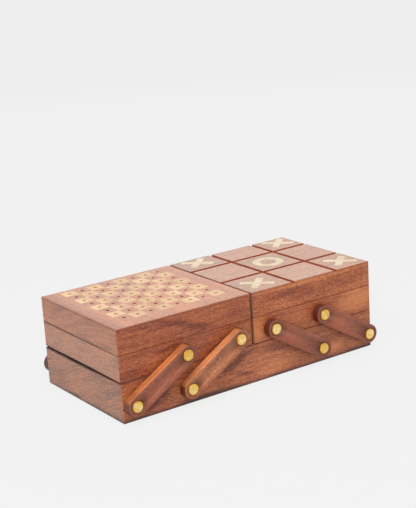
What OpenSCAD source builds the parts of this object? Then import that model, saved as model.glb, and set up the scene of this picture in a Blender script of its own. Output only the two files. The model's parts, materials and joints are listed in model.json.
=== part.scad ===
// Folding wooden games box.
// A lower box carries two trays side by side. Each tray hangs on four parallel links, two in front and
// two behind, so it swings up and outwards without tilting. Each tray has a lid hinged at the rear:
// the left lid is a chess board with peg holes, the right lid is a noughts and crosses board.
// The frame: X runs along the box, Y from front to rear, Z up. The origin is on the underside, in the middle.

/* [Box] */
// Length of the box from end to end
box_length = 250; // [240:1:320]
// Width of the box from front board to rear board, without the links
box_width = 118; // [116:1:150]
// Height of the lower box
base_height = 32.5; // [29:0.5:42]
// Height of a tray without its lid
tray_height = 21.8; // [20:0.2:30]
// Height of a lid
lid_height = 20.8; // [14:0.2:30]
// Gap between the lower box and the trays that rest over it
tray_seam = 0.2; // [0.1:0.05:0.6]
// Gap between a tray and its closed lid
lid_seam = 0.2; // [0.1:0.05:0.4]
// Gap between the two trays at the middle of the box
middle_gap = 1.3; // [0.8:0.1:4]

/* [Boards] */
// Thickness of the front, rear and end boards
wall = 9; // [8:0.5:11]
// Thickness of the lower box's floor
base_floor_t = 5; // [3:0.5:7]
// Thickness of a tray's floor
tray_floor_t = 4; // [3:0.5:6]
// Thickness of a lid's top board
lid_top_t = 8; // [7:0.5:10]
// How far a floor reaches under the boards, in its rebate
rebate = 4; // [2:0.5:5]
// Thickness of the partitions and of the tray divider
partition_t = 4; // [3:0.5:6]
// How far a partition stays below the rim
partition_drop = 0.6; // [0.4:0.1:3]
// Radius of the upright corners
corner_r = 1.2; // [0.6:0.1:4]
// Radius of a lid's upper edges along its front and rear
lid_side_r = 0.8; // [0.4:0.1:2]
// Radius of a lid's upper edge over its outer end
lid_end_r = 1.0; // [0.4:0.1:3]
// Radius of the lower box's bottom edges at its ends
foot_end_r = 2.2; // [0.6:0.1:4]
// Radius of the lower box's bottom edges along its front and rear
foot_side_r = 1.2; // [0.4:0.1:3]
// Radius of a tray's bottom edge at its outer end
tray_foot_r = 2.4; // [0.6:0.1:3.5]
// Radius of the small easing along the seams
seam_r = 0.35; // [0.1:0.05:0.8]

/* [Links] */
// Distance between a link's two pivots
link_pitch = 56; // [50:0.5:60]
// Width of a link
link_width = 16; // [13:0.5:17]
// Thickness of a link
link_t = 7; // [5.5:0.5:9]
// Radius of a link's long edges
link_edge_r = 0.7; // [0.3:0.1:1.5]
// Gap between a link and the board behind it, filled by a washer
link_gap = 1.7; // [1:0.1:3]
// From the box's end to the outer link's lower pivot
pivot_inset = 8.8; // [8.5:0.1:12]
// From the middle of the box to an inner link's upper pivot
inner_pivot_inset = 17.5; // [13:0.5:20]
// Height of the lower pivots above the underside of the lower box
base_pivot_z = 14.8; // [12:0.2:18]
// Height of the upper pivots above the underside of a tray
tray_pivot_z = 10.7; // [9:0.1:11.5]

/* [Pivot pins] */
// Diameter of a pivot pin's head
pin_head_d = 9.5; // [8:0.1:11]
// Height of a pivot pin's head, sunk into the link
pin_head_h = 3.2; // [2:0.1:4]
// How far a head stands out of the link's face
pin_proud = 0.3; // [0.1:0.1:1]
// Radius of the rounding round a head
pin_round = 0.5; // [0.2:0.1:1]
// Diameter of a pivot pin's shank
pin_shank_d = 5; // [4:0.1:5.6]
// Depth of a shank in its board
pin_depth = 5.5; // [4:0.1:6]
// Running clearance of a link's bores round the pin, on the radius
pin_clearance = 0.08; // [0.04:0.01:0.1]
// Clearance along the pin between faces that rub
face_clearance = 0.1; // [0.05:0.05:0.3]
// Diameter of a washer
washer_d = 11; // [9:0.5:14]

/* [Lid hinges] */
// Length of a hinge
hinge_length = 16; // [14:1:18]
// Reach of a hinge leaf into its mortise
leaf_depth = 7; // [6.4:0.2:7.6]
// Thickness of a hinge leaf
leaf_t = 0.8; // [0.5:0.1:1]
// Diameter of a hinge knuckle
knuckle_d = 3.5; // [3:0.1:4]
// Diameter of a hinge pin
hinge_pin_d = 1.5; // [1:0.1:1.8]
// Gap between one hinge knuckle and the next
knuckle_gap = 0.25; // [0.1:0.05:0.5]
// Gap between a knuckle and the rear face of the boards
knuckle_stand = 0.25; // [0.15:0.05:0.6]
// From a tray's outer end to the middle of its first hinge
hinge_inset = 25; // [20:1:34]
// Distance between a lid's two hinges
hinge_spacing = 57; // [48:1:60]
// Distance between the two screws of a leaf
screw_spacing = 9; // [8:0.5:10]
// Diameter of a hinge screw's head
screw_head_d = 2.4; // [1.8:0.1:2.8]
// Diameter of a hinge screw's shank
screw_shank_d = 1.2; // [0.8:0.1:1.6]
// Length of a hinge screw
screw_length = 6; // [4:0.5:8]

/* [Chess board] */
// Plain border between the lid's outer end and the chess squares
chess_outer_border = 14.5; // [4:0.5:20]
// Plain border between the lid's inner end and the chess squares
chess_inner_border = 12; // [4:0.5:20]
// Plain border along the front
chess_front_border = 15.5; // [4:0.5:20]
// Plain border along the rear
chess_rear_border = 4.5; // [3:0.5:20]
// Glue line left round each inlaid square
inlay_line = 0.08; // [0.04:0.01:0.3]
// Thickness of the inlaid light squares
inlay_t = 1.5; // [1:0.1:3]
// Diameter of a peg hole
peg_hole_d = 3.0; // [1.8:0.1:3.4]
// Depth of a peg hole
peg_hole_depth = 5.5; // [4:0.5:6.5]

/* [Noughts and crosses board] */
// From the lid's inner end to the first cross groove
inner_cell_x = 42.5; // [36:0.5:46]
// From the lid's outer end to the second cross groove
outer_cell_x = 37; // [36:0.5:44]
// From the lid's front to the first long groove
front_cell_y = 40.5; // [36:0.5:42]
// From the lid's rear to the second long groove
rear_cell_y = 33.5; // [33:0.5:38]
// Width of a groove
groove_w = 3.9; // [1:0.1:4]
// Depth of a groove, and thickness of the tiles that carry the marks
groove_depth = 2.0; // [1.4:0.1:4]
// Length of a cross's strokes
cross_length = 28.5; // [20:0.5:30]
// Width of a cross's strokes
cross_w = 6.2; // [3:0.1:7]
// Angle of a cross's strokes from the long grooves
cross_angle = 43; // [38:1:52]
// How far the two outer crosses sit beyond the middles of their cells
outer_cross_shift = 2; // [0:0.5:3]
// How far the two rear crosses sit behind the middles of their cells
rear_cross_shift = 2.5; // [0:0.5:3]
// Outer diameter of the nought
nought_d = 27; // [20:0.5:32]
// Diameter of the nought's middle
nought_hole_d = 14.5; // [8:0.5:18]
// Thickness of the inlaid marks
mark_t = 1.2; // [0.6:0.1:1.8]

/* [Ludo board] */
// Thickness of the ludo board
ludo_t = 4; // [3:0.5:6]
// Plain border round the ludo board's cells
ludo_border = 1.8; // [1:0.1:4]
// Gap round the loose ludo board
ludo_gap = 0.3; // [0.2:0.1:1]
// Thickness of the coloured inlays
ludo_inlay_t = 1; // [0.5:0.1:2]

/* [Playing pieces] */
// Length of a chess piece's peg
peg_length = 4; // [3:0.5:5]
// Diameter of a chess piece's foot
piece_foot_d = 6; // [4.6:0.2:7.4]
// Height of a pawn above its peg
pawn_h = 11; // [8:0.5:14]
// Height of the king above its peg
king_h = 16.5; // [13:0.5:18]
// Room at both ends of a row of lying chess pieces
row_end_gap = 6.4; // [1:0.2:12]
// Room between a row of lying pieces and the board beside it
row_side_gap = 2; // [0.5:0.5:4]
// Diameter of a ludo counter
counter_d = 9; // [7:0.5:11]
// Height of a ludo counter
counter_h = 4; // [3:0.5:6]
// From one counter to the next along the tray
counter_step_x = 12.6; // [11.5:0.1:14]
// From one counter to the next across the tray
counter_step_y = 14.4; // [11.5:0.1:22]
// Room between the tray's outer end board and the middle of the first counter
counter_first_x = 12; // [6:0.5:16]
// Side of the die
die_size = 9; // [7:0.5:11]
// Room between the tray's inner end board and the middle of the die
die_inset = 14; // [8:0.5:20]

/* [Hidden] */

// How finely curves are drawn
curve = 48;
fine_curve = 24;
// A little extra length for cuts that run past a face
past = 1;
// Room left round a pin or screw that sits tight in wood
tight = 0.02;

half_length = box_length / 2;
half_width = box_width / 2;
tray_z = base_height + tray_seam;
lid_z = tray_z + tray_height + lid_seam;
rim_top_z = lid_z + lid_height - lid_top_t;
box_top_z = lid_z + lid_height;

// A tray and its lid reach from the box's end nearly to the middle, written for the left side
tray_low = [-half_length, -half_width];
tray_high = [-middle_gap / 2, half_width];
tray_length = tray_high.x - tray_low.x;
tray_middle_x = (tray_low.x + tray_high.x) / 2;
base_low = [-half_length, -half_width];
base_high = [half_length, half_width];

// The links: the lower pivots are in the lower box and the upper ones in the tray
link_rise = tray_z + tray_pivot_z - base_pivot_z;
link_angle = asin(link_rise / link_pitch);
link_run = link_pitch * cos(link_angle);
outer_pivot_x = -half_length + pivot_inset;
inner_pivot_x = -inner_pivot_inset - link_run;
upper_pivot_z = tray_z + tray_pivot_z;
shank_r = pin_shank_d / 2;
head_r = pin_head_d / 2;
link_face = link_gap + link_t;
counterbore_floor = link_face + pin_proud - pin_head_h - face_clearance;

// The lid hinges: the axis lies in the seam, behind the rear face
knuckle_r = knuckle_d / 2;
hinge_y = half_width + knuckle_stand + knuckle_r;
hinge_z = tray_z + tray_height + lid_seam / 2;
hinge_xs = [for (i = [0, 1]) tray_low.x + hinge_inset + i * hinge_spacing];
knuckle_length = (hinge_length - 2 * knuckle_gap) / 3;
leaf_front_y = half_width - leaf_depth;
leaf_middle_y = half_width - leaf_depth / 2;
hinge_pin_r = hinge_pin_d / 2;

// The noughts and crosses board: its grooves and the middles of its cells
lid_inner_x = middle_gap / 2;
groove_xs = [lid_inner_x + inner_cell_x, half_length - outer_cell_x];
groove_ys = [front_cell_y - half_width, half_width - rear_cell_y];
groove_half = groove_w / 2;
cell_lows = [
  [lid_inner_x, groove_xs[0] + groove_half, groove_xs[1] + groove_half],
  [-half_width, groove_ys[0] + groove_half, groove_ys[1] + groove_half]
];
cell_highs = [
  [groove_xs[0] - groove_half, groove_xs[1] - groove_half, half_length],
  [groove_ys[0] - groove_half, groove_ys[1] - groove_half, half_width]
];
cell_middles = (cell_lows + cell_highs) / 2;

// The chess board fills the left lid inside its borders, with square squares
chess_room_x = tray_length - chess_outer_border - chess_inner_border;
chess_room_y = box_width - chess_front_border - chess_rear_border;
chess_pitch = min(chess_room_x, chess_room_y) / 8;
chess_first_x = tray_low.x + chess_outer_border + (chess_room_x - 7 * chess_pitch) / 2;
chess_first_y = tray_low.y + chess_front_border + (chess_room_y - 7 * chess_pitch) / 2;

// The ludo board is a square that fills the lower box from front to rear
ludo_side = box_width - 2 * wall - 2 * ludo_gap;
ludo_cell = (ludo_side - 2 * ludo_border) / 15;
ludo_top_z = base_floor_t + ludo_t;
partition_x = ludo_side / 2 + ludo_gap;

// Places of the playing pieces in the trays
tray_floor_z = tray_z + tray_floor_t;
bay_depth = (box_width - 2 * wall - partition_t) / 2;
piece_lift = 0.05;
piece_step = (tray_length - 2 * wall - 2 * row_end_gap - piece_foot_d) / 7;

// The turned pieces: sizes of their parts, and proportions as shares of the foot's radius or the height
peg_play = 0.15;
peg_r = peg_hole_d / 2 - peg_play;
foot_r = piece_foot_d / 2;
foot_h = 1.6;
shoulder_r = foot_r * 0.85;
neck_r = foot_r * 0.45;
waist_share = 0.4;
collar_h = 0.9;
collar_reach = 1.15;
head_share = 1.32;
crown_share = 1.6;
rook_waist_r = foot_r * 0.6;
rook_well_r = foot_r * 0.54;
rook_well_depth = 1.2;
notch_w = 1;
muzzle_share = 1.8;
muzzle_angle = 38;
face_half = foot_r * 0.54;
mitre_slot_w = 0.5;
crown_r = 0.9;
finial_w = 0.8;
finial_reach = 2.2;

// Shares of the ludo cells and of the die
spot_share = 0.4;
pip_r = die_size * 0.09;
pip_spread = die_size * 0.26;
pip_depth = 0.4;
die_rounding = 0.72;

dark_wood = "#8a4a33";
mid_wood = "#9c5a3f";
light_wood = "#e6bd85";
brass = "#d9ae55";

// Shapes

// Corner waste of an upright edge: a square corner less its round, for a body in +X and +Y
module edge_waste(radius, length) {
  translate([0, 0, -past])
    linear_extrude(length + 2 * past)
      difference() {
        translate([-past, -past])
          square(radius + past);
        translate([radius, radius])
          circle(radius, $fn = curve);
      }
}

// A block with rounded edges.
// foot and head are the radii of the lower and upper edges: [left end, right end, front and rear]
module eased_block(low, high, z_low, z_high, foot, head) {
  size = [high.x - low.x, high.y - low.y, z_high - z_low];
  translate([(low.x + high.x) / 2, 0, z_low])
    difference() {
      translate([-size.x / 2, -size.y / 2, 0])
        cube(size);
      for (x = [0, 1], y = [0, 1])
        mirror([x, 0, 0])
          mirror([0, y, 0])
            translate([-size.x / 2, -size.y / 2, 0])
              edge_waste(corner_r, size.z);
      for (x = [0, 1]) {
        mirror([x, 0, 0])
          translate([-size.x / 2, size.y / 2, 0])
            rotate([90, 0, 0])
              edge_waste(foot[x], size.y);
        mirror([x, 0, 0])
          translate([-size.x / 2, size.y / 2, size.z])
            rotate([90, 0, 0])
              mirror([0, 1, 0])
                edge_waste(head[x], size.y);
      }
      for (y = [0, 1]) {
        mirror([0, y, 0])
          translate([-size.x / 2, -size.y / 2, 0])
            rotate([90, 0, 90])
              edge_waste(foot[2], size.x);
        mirror([0, y, 0])
          translate([-size.x / 2, -size.y / 2, size.z])
            rotate([90, 0, 90])
              mirror([0, 1, 0])
                edge_waste(head[2], size.x);
      }
    }
}

module base_block() {
  eased_block(base_low, base_high, 0, base_height,
    [foot_end_r, foot_end_r, foot_side_r], [seam_r, seam_r, seam_r]);
}

module tray_block() {
  eased_block(tray_low, tray_high, tray_z, tray_z + tray_height,
    [tray_foot_r, seam_r, seam_r], [seam_r, seam_r, seam_r]);
}

module lid_block() {
  eased_block(tray_low, tray_high, lid_z, box_top_z,
    [seam_r, seam_r, seam_r], [lid_end_r, lid_side_r, lid_side_r]);
}

// A board of a mitred frame, before its edges are eased. side is front, rear, left or right
module mitred_board(side, low, high, z_low, z_high) {
  inner_low = low + [wall, wall];
  inner_high = high - [wall, wall];
  outline =
    side == "front" ? [low, [high.x, low.y], [inner_high.x, inner_low.y], inner_low] :
    side == "rear" ? [high, [low.x, high.y], [inner_low.x, inner_high.y], inner_high] :
    side == "left" ? [low, inner_low, [inner_low.x, inner_high.y], [low.x, high.y]] :
      [high, inner_high, [inner_high.x, inner_low.y], [high.x, low.y]];
  translate([0, 0, z_low])
    linear_extrude(z_high - z_low)
      polygon(outline);
}

// The space that a rebated floor fills
module floor_space(low, high, z_low, thickness) {
  reach = wall - rebate;
  translate([low.x + reach, low.y + reach, z_low])
    cube([high.x - low.x - 2 * reach, high.y - low.y - 2 * reach, thickness]);
}

// Moves a shape drawn along +Z to stand out of the front face at x, z
module on_front(x, z) {
  translate([x, -half_width, z])
    rotate([90, 0, 0])
      children();
}

// Repeats what belongs to the front at the rear
module front_and_rear() {
  children();
  mirror([0, 1, 0])
    children();
}

// Repeats what belongs to the left at the right
module left_and_right() {
  children();
  mirror([1, 0, 0])
    children();
}

module right_side() {
  mirror([1, 0, 0])
    children();
}

// Pivot pins, washers and links

// A stepped pivot pin, its head outwards: the shank sits in the board, the head in the link
module pivot_pin() {
  head_low = link_face + pin_proud - pin_head_h;
  head_high = link_face + pin_proud;
  color(brass)
    rotate_extrude($fn = curve)
      union() {
        translate([0, -pin_depth])
          square([shank_r, pin_depth + head_low + past]);
        translate([0, head_low])
          square([head_r, pin_head_h - pin_round]);
        translate([0, head_low])
          square([head_r - pin_round, pin_head_h]);
        intersection() {
          translate([head_r - pin_round, head_high - pin_round])
            circle(pin_round, $fn = fine_curve);
          translate([0, head_low])
            square([head_r, pin_head_h]);
        }
      }
}

module pivot_hole() {
  translate([0, 0, -pin_depth - tight])
    cylinder(h = pin_depth + past, r = shank_r + tight, $fn = curve);
}

module pivot_washer() {
  color(brass)
    difference() {
      cylinder(h = link_gap - face_clearance, d = washer_d, $fn = curve);
      translate([0, 0, -past])
        cylinder(h = link_gap + 2 * past, r = shank_r + tight, $fn = curve);
    }
}

// A link between two pivots, flat on its back, lying along +X from its lower pivot
module link_bar() {
  half = link_width / 2;
  difference() {
    union() {
      rotate([90, 0, 90])
        linear_extrude(link_pitch)
          link_section(half);
      for (x = [0, link_pitch])
        translate([x, 0, 0])
          rotate_extrude($fn = curve)
            intersection() {
              link_section(half);
              square([half, link_t]);
            }
    }
    for (x = [0, link_pitch])
      translate([x, 0, 0])
        link_bores();
  }
}

// Cross section of a link, with its long edges rounded
module link_section(half) {
  difference() {
    translate([-half, 0])
      square([2 * half, link_t]);
    for (side = [0, 1], face = [0, 1])
      mirror([side, 0])
        translate([0, face * link_t])
          mirror([0, face])
            translate([-half, 0])
              difference() {
                translate([-past, -past])
                  square(link_edge_r + past);
                translate([link_edge_r, link_edge_r])
                  circle(link_edge_r, $fn = fine_curve);
              }
  }
}

// A link's through bore and the counterbore that takes the pin's head
module link_bores() {
  translate([0, 0, -past])
    cylinder(h = link_t + 2 * past, r = shank_r + pin_clearance, $fn = curve);
  translate([0, 0, counterbore_floor - link_gap])
    cylinder(h = link_t, r = head_r + pin_clearance, $fn = curve);
}

module placed_link(pivot_x) {
  color(dark_wood)
    on_front(pivot_x, base_pivot_z)
      translate([0, 0, link_gap])
        rotate([0, 0, link_angle])
          link_bar();
}

module base_pivots() {
  left_and_right()
    front_and_rear()
      for (x = [outer_pivot_x, inner_pivot_x])
        on_front(x, base_pivot_z)
          children();
}

module tray_pivots() {
  front_and_rear()
    for (x = [outer_pivot_x, inner_pivot_x])
      on_front(x + link_run, upper_pivot_z)
        children();
}

// Lower box

module base_board(side) {
  color(mid_wood)
    difference() {
      intersection() {
        mitred_board(side, base_low, base_high, 0, base_height);
        base_block();
      }
      translate([0, 0, -past])
        floor_space(base_low, base_high, 0, base_floor_t + past);
      if (side == "front" || side == "rear")
        base_pivots()
          pivot_hole();
    }
}

module base_front_board() {
  base_board("front");
}

module base_rear_board() {
  base_board("rear");
}

module base_left_end_board() {
  base_board("left");
}

module base_right_end_board() {
  base_board("right");
}

module base_floor() {
  color(dark_wood)
    floor_space(base_low, base_high, 0, base_floor_t);
}

// Two boards across the lower box, which hold the ludo board between them
module base_partitions() {
  color(mid_wood)
    left_and_right()
      translate([partition_x, wall - half_width, base_floor_t])
        cube([partition_t, box_width - 2 * wall, base_height - base_floor_t - partition_drop]);
}

module base_pivot_pins() {
  base_pivots()
    pivot_pin();
}

module base_pivot_washers() {
  base_pivots()
    pivot_washer();
}

// Ludo board. Its fifteen by fifteen cells are counted from the middle cell

module ludo_board() {
  color(light_wood)
    difference() {
      translate([-ludo_side / 2, -ludo_side / 2, base_floor_t])
        cube([ludo_side, ludo_side, ludo_t]);
      for (quarter = [0 : 3])
        ludo_quarter(quarter, ludo_inlay_t + past);
    }
}

// A square inlay of some cells, less a glue line all round
module ludo_patch(x, y, cells) {
  side = cells * ludo_cell - 2 * inlay_line;
  translate([x * ludo_cell, y * ludo_cell])
    square(side, center = true);
}

// One player's inlays: yard, four yard spots, start cell, home column and home triangle.
// The yard is a frame of 6 by 6 cells round a plain square of 4 by 4
module ludo_quarter_outline() {
  yard_x = -4.5;
  yard_y = 4.5;
  difference() {
    ludo_patch(yard_x, yard_y, 6);
    ludo_patch(yard_x, yard_y, 4);
  }
  for (x = [-1, 1], y = [-1, 1])
    translate([(yard_x + x) * ludo_cell, (yard_y + y) * ludo_cell])
      circle(ludo_cell * spot_share, $fn = curve);
  ludo_patch(-6, 1, 1);
  for (x = [-6 : -2])
    ludo_patch(x, 0, 1);
  reach = 1.5 * ludo_cell - 3 * inlay_line;
  polygon([[-reach, -reach + 2 * inlay_line], [-3 * inlay_line, 0], [-reach, reach - 2 * inlay_line]]);
}

module ludo_quarter(quarter, height) {
  translate([0, 0, ludo_top_z - ludo_inlay_t])
    rotate([0, 0, -90 * quarter])
      linear_extrude(height)
        ludo_quarter_outline();
}

module ludo_red_inlays() {
  color("#b8352b")
    ludo_quarter(0, ludo_inlay_t);
}

module ludo_green_inlays() {
  color("#2f7d45")
    ludo_quarter(1, ludo_inlay_t);
}

module ludo_yellow_inlays() {
  color("#e0b03a")
    ludo_quarter(2, ludo_inlay_t);
}

module ludo_blue_inlays() {
  color("#2c5c9e")
    ludo_quarter(3, ludo_inlay_t);
}

// Trays, drawn for the left side

module tray_board(side) {
  color(mid_wood)
    difference() {
      intersection() {
        mitred_board(side, tray_low, tray_high, tray_z, tray_z + tray_height);
        tray_block();
      }
      translate([0, 0, -past])
        floor_space(tray_low, tray_high, tray_z, tray_floor_t + past);
      if (side == "front" || side == "rear")
        tray_pivots()
          pivot_hole();
      if (side == "rear")
        lower_leaf_cuts();
    }
}

module tray_end_boards() {
  tray_board("left");
  tray_board("right");
}

module tray_floor() {
  color(dark_wood)
    floor_space(tray_low, tray_high, tray_z, tray_floor_t);
}

module tray_pivot_pins() {
  tray_pivots()
    pivot_pin();
}

module tray_pivot_washers() {
  tray_pivots()
    pivot_washer();
}

// Hinges, drawn for the left side

// A leaf of one hinge as the lower one: a plate with its knuckles at the axis.
// knuckles lists which of the three knuckles the leaf carries
module hinge_leaf(knuckles) {
  difference() {
    union() {
      translate([-hinge_length / 2, leaf_front_y - hinge_y, -lid_seam / 2 - leaf_t])
        cube([hinge_length, leaf_depth, leaf_t]);
      for (i = knuckles)
        knuckle(i);
    }
    translate([-hinge_length / 2 - past, 0, 0])
      rotate([0, 90, 0])
        cylinder(h = hinge_length + 2 * past, r = hinge_pin_r + tight, $fn = fine_curve);
    for (x = [-1, 1])
      translate([x * screw_spacing / 2, leaf_middle_y - hinge_y, -lid_seam / 2])
        hinge_screw(tight);
  }
}

// One knuckle, with the web that joins it to its leaf
module knuckle(i) {
  start = -hinge_length / 2 + i * (knuckle_length + knuckle_gap);
  translate([start, 0, 0])
    rotate([0, 90, 0])
      cylinder(h = knuckle_length, r = knuckle_r, $fn = fine_curve);
  translate([start, leaf_front_y + leaf_depth - hinge_y - past, -lid_seam / 2 - leaf_t])
    cube([knuckle_length, knuckle_stand + knuckle_r + past, leaf_t]);
}

// A countersunk screw, its head's face at the origin, pointing down
module hinge_screw(extra) {
  head_r = screw_head_d / 2;
  screw_r = screw_shank_d / 2;
  cone_h = head_r - screw_r;
  translate([0, 0, -screw_length - extra])
    cylinder(h = screw_length, r = screw_r + extra, $fn = fine_curve);
  translate([0, 0, -cone_h])
    cylinder(h = cone_h, r1 = screw_r + extra, r2 = head_r + extra, $fn = fine_curve);
  if (extra > 0)
    translate([0, 0, -extra])
      cylinder(h = lid_seam / 2 + extra, r = head_r + extra, $fn = fine_curve);
}

module at_hinges() {
  for (x = hinge_xs)
    translate([x, hinge_y, hinge_z])
      children();
}

// The lid's leaves are the tray's, turned over about the hinge axis
module upper() {
  mirror([0, 0, 1])
    children();
}

module hinge_screws() {
  for (x = [-1, 1])
    translate([x * screw_spacing / 2, leaf_middle_y - hinge_y, -lid_seam / 2])
      hinge_screw(0);
}

// The mortise of a lower leaf and its screw holes
module leaf_cut() {
  translate([-hinge_length / 2 - tight, leaf_front_y - hinge_y - tight, -lid_seam / 2 - leaf_t - tight])
    cube([hinge_length + 2 * tight, leaf_depth + past, leaf_t + past]);
  for (x = [-1, 1])
    translate([x * screw_spacing / 2, leaf_middle_y - hinge_y, -lid_seam / 2])
      hinge_screw(tight);
}

module lower_leaf_cuts() {
  at_hinges()
    leaf_cut();
}

module upper_leaf_cuts() {
  at_hinges()
    upper()
      leaf_cut();
}

module tray_hinge_leaves() {
  color(brass)
    at_hinges()
      hinge_leaf([0, 2]);
}

module lid_hinge_leaves() {
  color(brass)
    at_hinges()
      upper()
        hinge_leaf([1]);
}

module hinge_pins() {
  color(brass)
    at_hinges()
      translate([-hinge_length / 2, 0, 0])
        rotate([0, 90, 0])
          cylinder(h = hinge_length, r = hinge_pin_r, $fn = fine_curve);
}

module tray_hinge_screws() {
  color(brass)
    at_hinges()
      hinge_screws();
}

module lid_hinge_screws() {
  color(brass)
    at_hinges()
      upper()
        hinge_screws();
}

// Lids, drawn for the left side

module rim_board(side) {
  color(mid_wood)
    difference() {
      intersection() {
        mitred_board(side, tray_low, tray_high, lid_z, rim_top_z);
        lid_block();
      }
      if (side == "rear")
        upper_leaf_cuts();
    }
}

module lid_end_rims() {
  rim_board("left");
  rim_board("right");
}

module plain_lid_top() {
  intersection() {
    lid_block();
    translate([tray_low.x, tray_low.y, rim_top_z])
      cube([tray_length, box_width, lid_top_t]);
  }
}

// Chess board

function chess_x(file) = chess_first_x + file * chess_pitch;
function chess_y(rank) = chess_first_y + rank * chess_pitch;
function is_light(file, rank) = (file + rank) % 2 == 1;

module peg_hole(file, rank) {
  translate([chess_x(file), chess_y(rank), box_top_z - peg_hole_depth])
    cylinder(h = peg_hole_depth + past, d = peg_hole_d, $fn = fine_curve);
}

// The light squares' solids, or the pockets that take them
module light_squares(height) {
  side = chess_pitch - 2 * inlay_line;
  for (file = [0 : 7], rank = [0 : 7])
    if (is_light(file, rank))
      translate([chess_x(file) - side / 2, chess_y(rank) - side / 2, box_top_z - inlay_t])
        cube([side, side, height]);
}

module chess_lid_top() {
  color(mid_wood)
    difference() {
      plain_lid_top();
      light_squares(inlay_t + past);
      for (file = [0 : 7], rank = [0 : 7])
        peg_hole(file, rank);
    }
}

module chess_light_squares() {
  color(light_wood)
    difference() {
      light_squares(inlay_t);
      for (file = [0 : 7], rank = [0 : 7])
        if (is_light(file, rank))
          peg_hole(file, rank);
    }
}

// Noughts and crosses board, on the right lid

module stroke(angle, width, height) {
  rotate([0, 0, angle])
    translate([-cross_length / 2, -width / 2, 0])
      cube([cross_length, width, height]);
}

// A cross: one whole stroke, and two short ones that meet its sides
module cross_strokes(height) {
  stroke(cross_angle, cross_w, height);
  difference() {
    stroke(-cross_angle, cross_w, height);
    translate([0, 0, -past])
      stroke(cross_angle, cross_w + 2 * inlay_line, height + 2 * past);
  }
}

// The corner cells carry a cross each and the middle cell the nought
function is_marked(column, row) = column != 1 && row != 1 || column == 1 && row == 1;

module crosses(height) {
  for (column = [0, 2], row = [0, 2]) {
    x = cell_middles[0][column] + (column == 2 ? outer_cross_shift : 0);
    y = cell_middles[1][row] + (row == 2 ? rear_cross_shift : 0);
    translate([x, y, box_top_z - mark_t])
      cross_strokes(height);
  }
}

module nought(height) {
  translate([cell_middles[0][1], cell_middles[1][1], box_top_z - mark_t])
    difference() {
      cylinder(h = height, d = nought_d, $fn = curve);
      translate([0, 0, -past])
        cylinder(h = height + 2 * past, d = nought_hole_d, $fn = curve);
    }
}

module grooves() {
  for (x = groove_xs)
    translate([x - groove_half, -half_width - past, box_top_z - groove_depth])
      cube([groove_w, box_width + 2 * past, groove_depth + past]);
  for (y = groove_ys)
    translate([-past, y - groove_half, box_top_z - groove_depth])
      cube([half_length + 2 * past, groove_w, groove_depth + past]);
}

// The five marked cells, down to the floor of the grooves
module marked_cells(height) {
  for (column = [0 : 2], row = [0 : 2])
    if (is_marked(column, row)) {
      low = [cell_lows[0][column], cell_lows[1][row]];
      high = [cell_highs[0][column], cell_highs[1][row]];
      translate([low.x, low.y, box_top_z - groove_depth])
        cube([high.x - low.x, high.y - low.y, height]);
    }
}

module noughts_lid_top() {
  color(mid_wood)
    difference() {
      right_side()
        plain_lid_top();
      grooves();
      marked_cells(groove_depth + past);
    }
}

// Tiles of a greyer wood, glued down level with the plain cells
module noughts_marked_tiles() {
  color("#a8745a")
    difference() {
      intersection() {
        marked_cells(groove_depth);
        right_side()
          plain_lid_top();
      }
      crosses(mark_t + past);
      nought(mark_t + past);
    }
}

module cross_inlays() {
  color(light_wood)
    crosses(mark_t);
}

module nought_inlay() {
  color(light_wood)
    nought(mark_t);
}

// Playing pieces

// The outline that all turned pieces share: a peg below the origin and a foot above it
module foot_outline() {
  translate([0, -peg_length])
    square([peg_r, peg_length + foot_h / 2]);
  square([foot_r, foot_h]);
}

// A turned chess piece, its foot at the origin, its peg below and its head upwards
module turned_piece(height, head_d, collar) {
  head_r = head_d / 2;
  neck_top = height - head_d;
  body_top = neck_top + head_r * waist_share;
  rotate_extrude($fn = curve) {
    foot_outline();
    polygon([[0, foot_h / 2], [shoulder_r, foot_h], [neck_r, height * waist_share], [neck_r, body_top],
      [0, body_top]]);
    if (collar)
      translate([0, neck_top - collar_h / 2])
        square([head_r * collar_reach, collar_h]);
    intersection() {
      translate([0, neck_top + head_r])
        circle(head_r, $fn = curve);
      square([head_r, height]);
    }
  }
}

module pawn() {
  turned_piece(pawn_h, foot_r * head_share, true);
}

// A rook is a low tower with a well and four notches in its top
module rook() {
  wall_low = pawn_h * 0.75;
  difference() {
    rotate_extrude($fn = curve) {
      foot_outline();
      polygon([[0, foot_h / 2], [shoulder_r, foot_h], [rook_waist_r, wall_low],
        [shoulder_r, wall_low + collar_h / 2], [shoulder_r, pawn_h], [0, pawn_h]]);
    }
    translate([0, 0, pawn_h - rook_well_depth])
      cylinder(h = rook_well_depth + past, r = rook_well_r, $fn = curve);
    for (turn = [0, 90])
      rotate([0, 0, turn])
        translate([-foot_r, -notch_w / 2, pawn_h - notch_w])
          cube([2 * foot_r, notch_w, notch_w + past]);
  }
}

// The knight's head is a turned blank cut to a slanting muzzle and flat cheeks
module knight() {
  knight_h = (3 * pawn_h + king_h) / 4;
  difference() {
    turned_piece(knight_h, foot_r * muzzle_share, false);
    for (side = [0, 1])
      mirror([0, side, 0])
        translate([-piece_foot_d, face_half, foot_h + collar_h])
          cube([2 * piece_foot_d, piece_foot_d, knight_h]);
    translate([0, -piece_foot_d, knight_h])
      rotate([0, muzzle_angle, 0])
        cube([piece_foot_d, 2 * piece_foot_d, piece_foot_d]);
  }
}

// The bishop's head has a slanting slot
module bishop() {
  bishop_h = (pawn_h + king_h) / 2;
  difference() {
    turned_piece(bishop_h, foot_r * head_share, true);
    translate([mitre_slot_w, -foot_r, bishop_h - foot_r * collar_reach])
      rotate([0, muzzle_angle, 0])
        cube([mitre_slot_w, piece_foot_d, piece_foot_d]);
  }
}

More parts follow.
